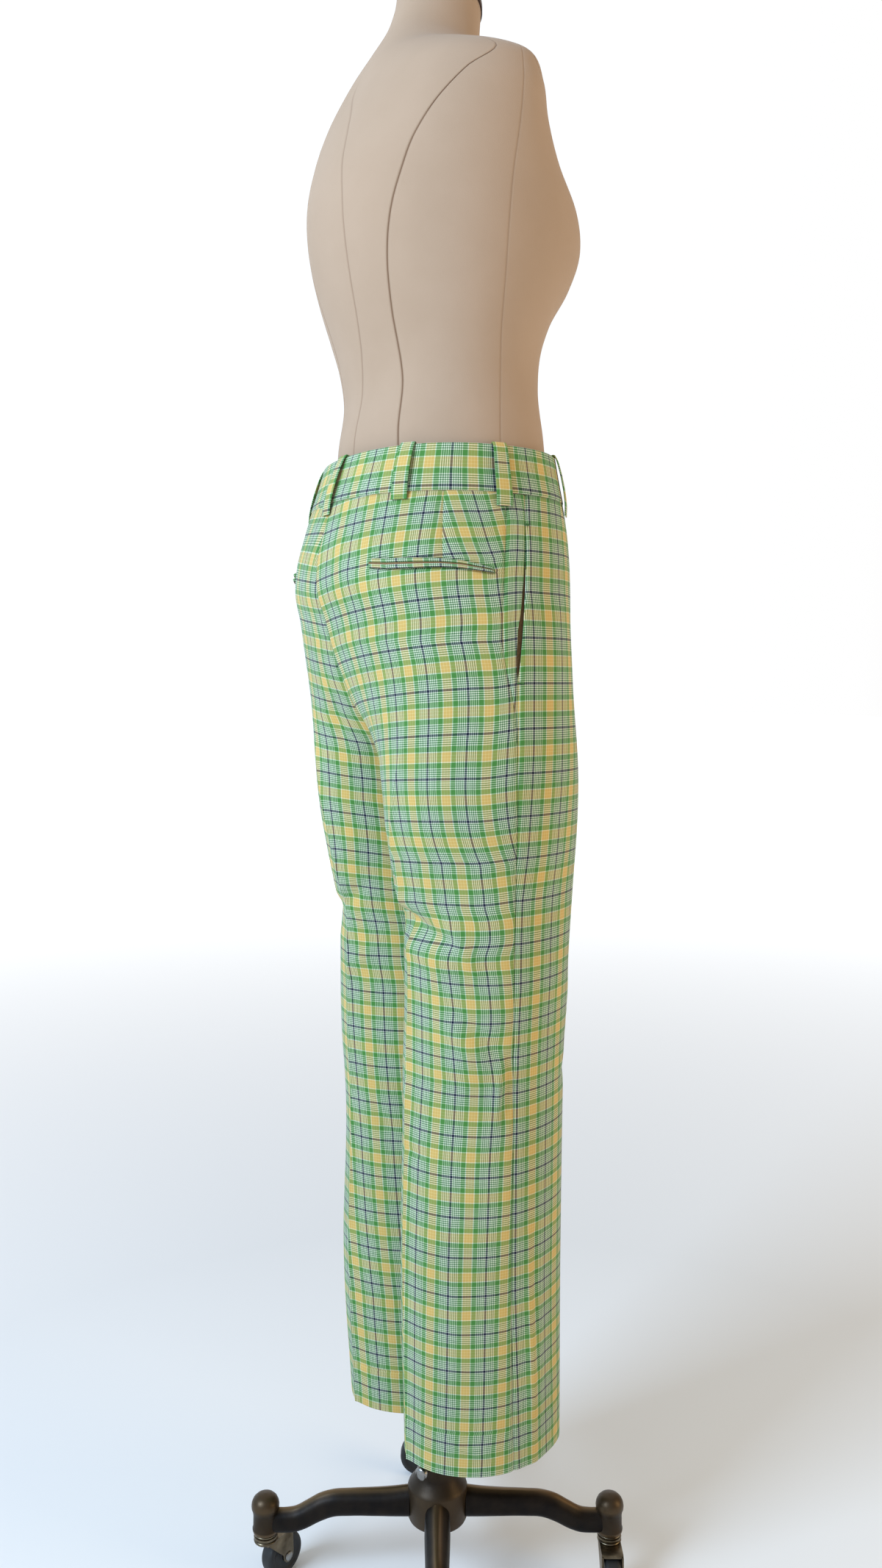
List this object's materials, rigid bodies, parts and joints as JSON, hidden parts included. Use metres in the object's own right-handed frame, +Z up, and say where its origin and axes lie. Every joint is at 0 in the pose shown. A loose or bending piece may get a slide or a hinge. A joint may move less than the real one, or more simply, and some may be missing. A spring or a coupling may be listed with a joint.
{
  "type": "tailored trousers on a dress form with a castered stand",
  "caption": "High-waisted straight-leg plaid trousers with belt loops and welt pockets, worn on a padded dress form on a cast stand with casters.",
  "frame": {"origin": "on the floor, on the axis of the stand's pole", "axes": "+Z up along the pole; the form and the trousers face -Y, so the wearer's left side is +X"},
  "size_m": [0.4044, 0.3718, 1.7691],
  "materials": {
    "plaid_cotton": "matte",
    "pocketing": "matte",
    "button": "gloss",
    "ecru_jersey": "matte",
    "neck_cap": "satin",
    "dark_iron": "satin",
    "steel": "satin",
    "nickel": "satin",
    "rubber": "matte"
  },
  "bodies": {
    "base": {"base_hub": "dark_iron", "base_leg_0": "dark_iron", "base_leg_1": "dark_iron", "base_leg_2": "dark_iron", "base_leg_3": "dark_iron", "height_lock_screw": "steel"},
    "pole": {"pole": "steel"},
    "form": {"dress_form": "ecru_jersey", "neck_cap": "neck_cap", "front_panel_right": "plaid_cotton", "front_panel_left": "plaid_cotton", "back_panel_right": "plaid_cotton", "back_panel_left": "plaid_cotton", "waistband": "plaid_cotton", "waistband_tab": "plaid_cotton", "fly_flap": "plaid_cotton", "belt_loop_front_right": "plaid_cotton", "belt_loop_front_left": "plaid_cotton", "belt_loop_side_right": "plaid_cotton", "belt_loop_side_left": "plaid_cotton", "belt_loop_back_right": "plaid_cotton", "belt_loop_back_left": "plaid_cotton", "belt_loop_centre_back": "plaid_cotton", "back_pocket_welt_right": "plaid_cotton", "back_pocket_welt_left": "plaid_cotton", "side_pocket_facing_right": "pocketing", "side_pocket_facing_left": "pocketing", "waist_button": "button"},
    "fork_0": {"caster_fork_0": "nickel"},
    "fork_1": {"caster_fork_1": "nickel"},
    "fork_2": {"caster_fork_2": "nickel"},
    "fork_3": {"caster_fork_3": "nickel"},
    "wheel_0": {"caster_wheel_0": "rubber"},
    "wheel_1": {"caster_wheel_1": "rubber"},
    "wheel_2": {"caster_wheel_2": "rubber"},
    "wheel_3": {"caster_wheel_3": "rubber"}
  },
  "joints": [
    {"name": "pole_height", "type": "slide", "parent": "base", "child": "pole", "axis": [0, 0, 1], "range_m": [-0.02, 0.05]},
    {"name": "form_turn", "type": "hinge", "parent": "pole", "child": "form", "pos_m": [0, 0, 1.04], "axis": [0, 0, 1], "continuous": true},
    {"name": "caster_swivel_0", "type": "hinge", "parent": "base", "child": "fork_0", "pos_m": [-0.17113, 0.0988, 0.0635], "axis": [0, 0, 1], "continuous": true},
    {"name": "caster_swivel_1", "type": "hinge", "parent": "base", "child": "fork_1", "pos_m": [-0.0988, -0.17113, 0.0635], "axis": [0, 0, 1], "continuous": true},
    {"name": "caster_swivel_2", "type": "hinge", "parent": "base", "child": "fork_2", "pos_m": [0.17113, -0.0988, 0.0635], "axis": [0, 0, 1], "continuous": true},
    {"name": "caster_swivel_3", "type": "hinge", "parent": "base", "child": "fork_3", "pos_m": [0.0988, 0.17113, 0.0635], "axis": [0, 0, 1], "continuous": true},
    {"name": "wheel_roll_0", "type": "hinge", "parent": "fork_0", "child": "wheel_0", "pos_m": [-0.18313, 0.07802, 0.025], "axis": [0.866, -0.5, 0], "continuous": true},
    {"name": "wheel_roll_1", "type": "hinge", "parent": "fork_1", "child": "wheel_1", "pos_m": [-0.11958, -0.15913, 0.025], "axis": [-0.5, -0.866, 0], "continuous": true},
    {"name": "wheel_roll_2", "type": "hinge", "parent": "fork_2", "child": "wheel_2", "pos_m": [0.18313, -0.07802, 0.025], "axis": [-0.866, 0.5, 0], "continuous": true},
    {"name": "wheel_roll_3", "type": "hinge", "parent": "fork_3", "child": "wheel_3", "pos_m": [0.10701, 0.14858, 0.025], "axis": [0.9397, 0.342, 0], "continuous": true}
  ]
}
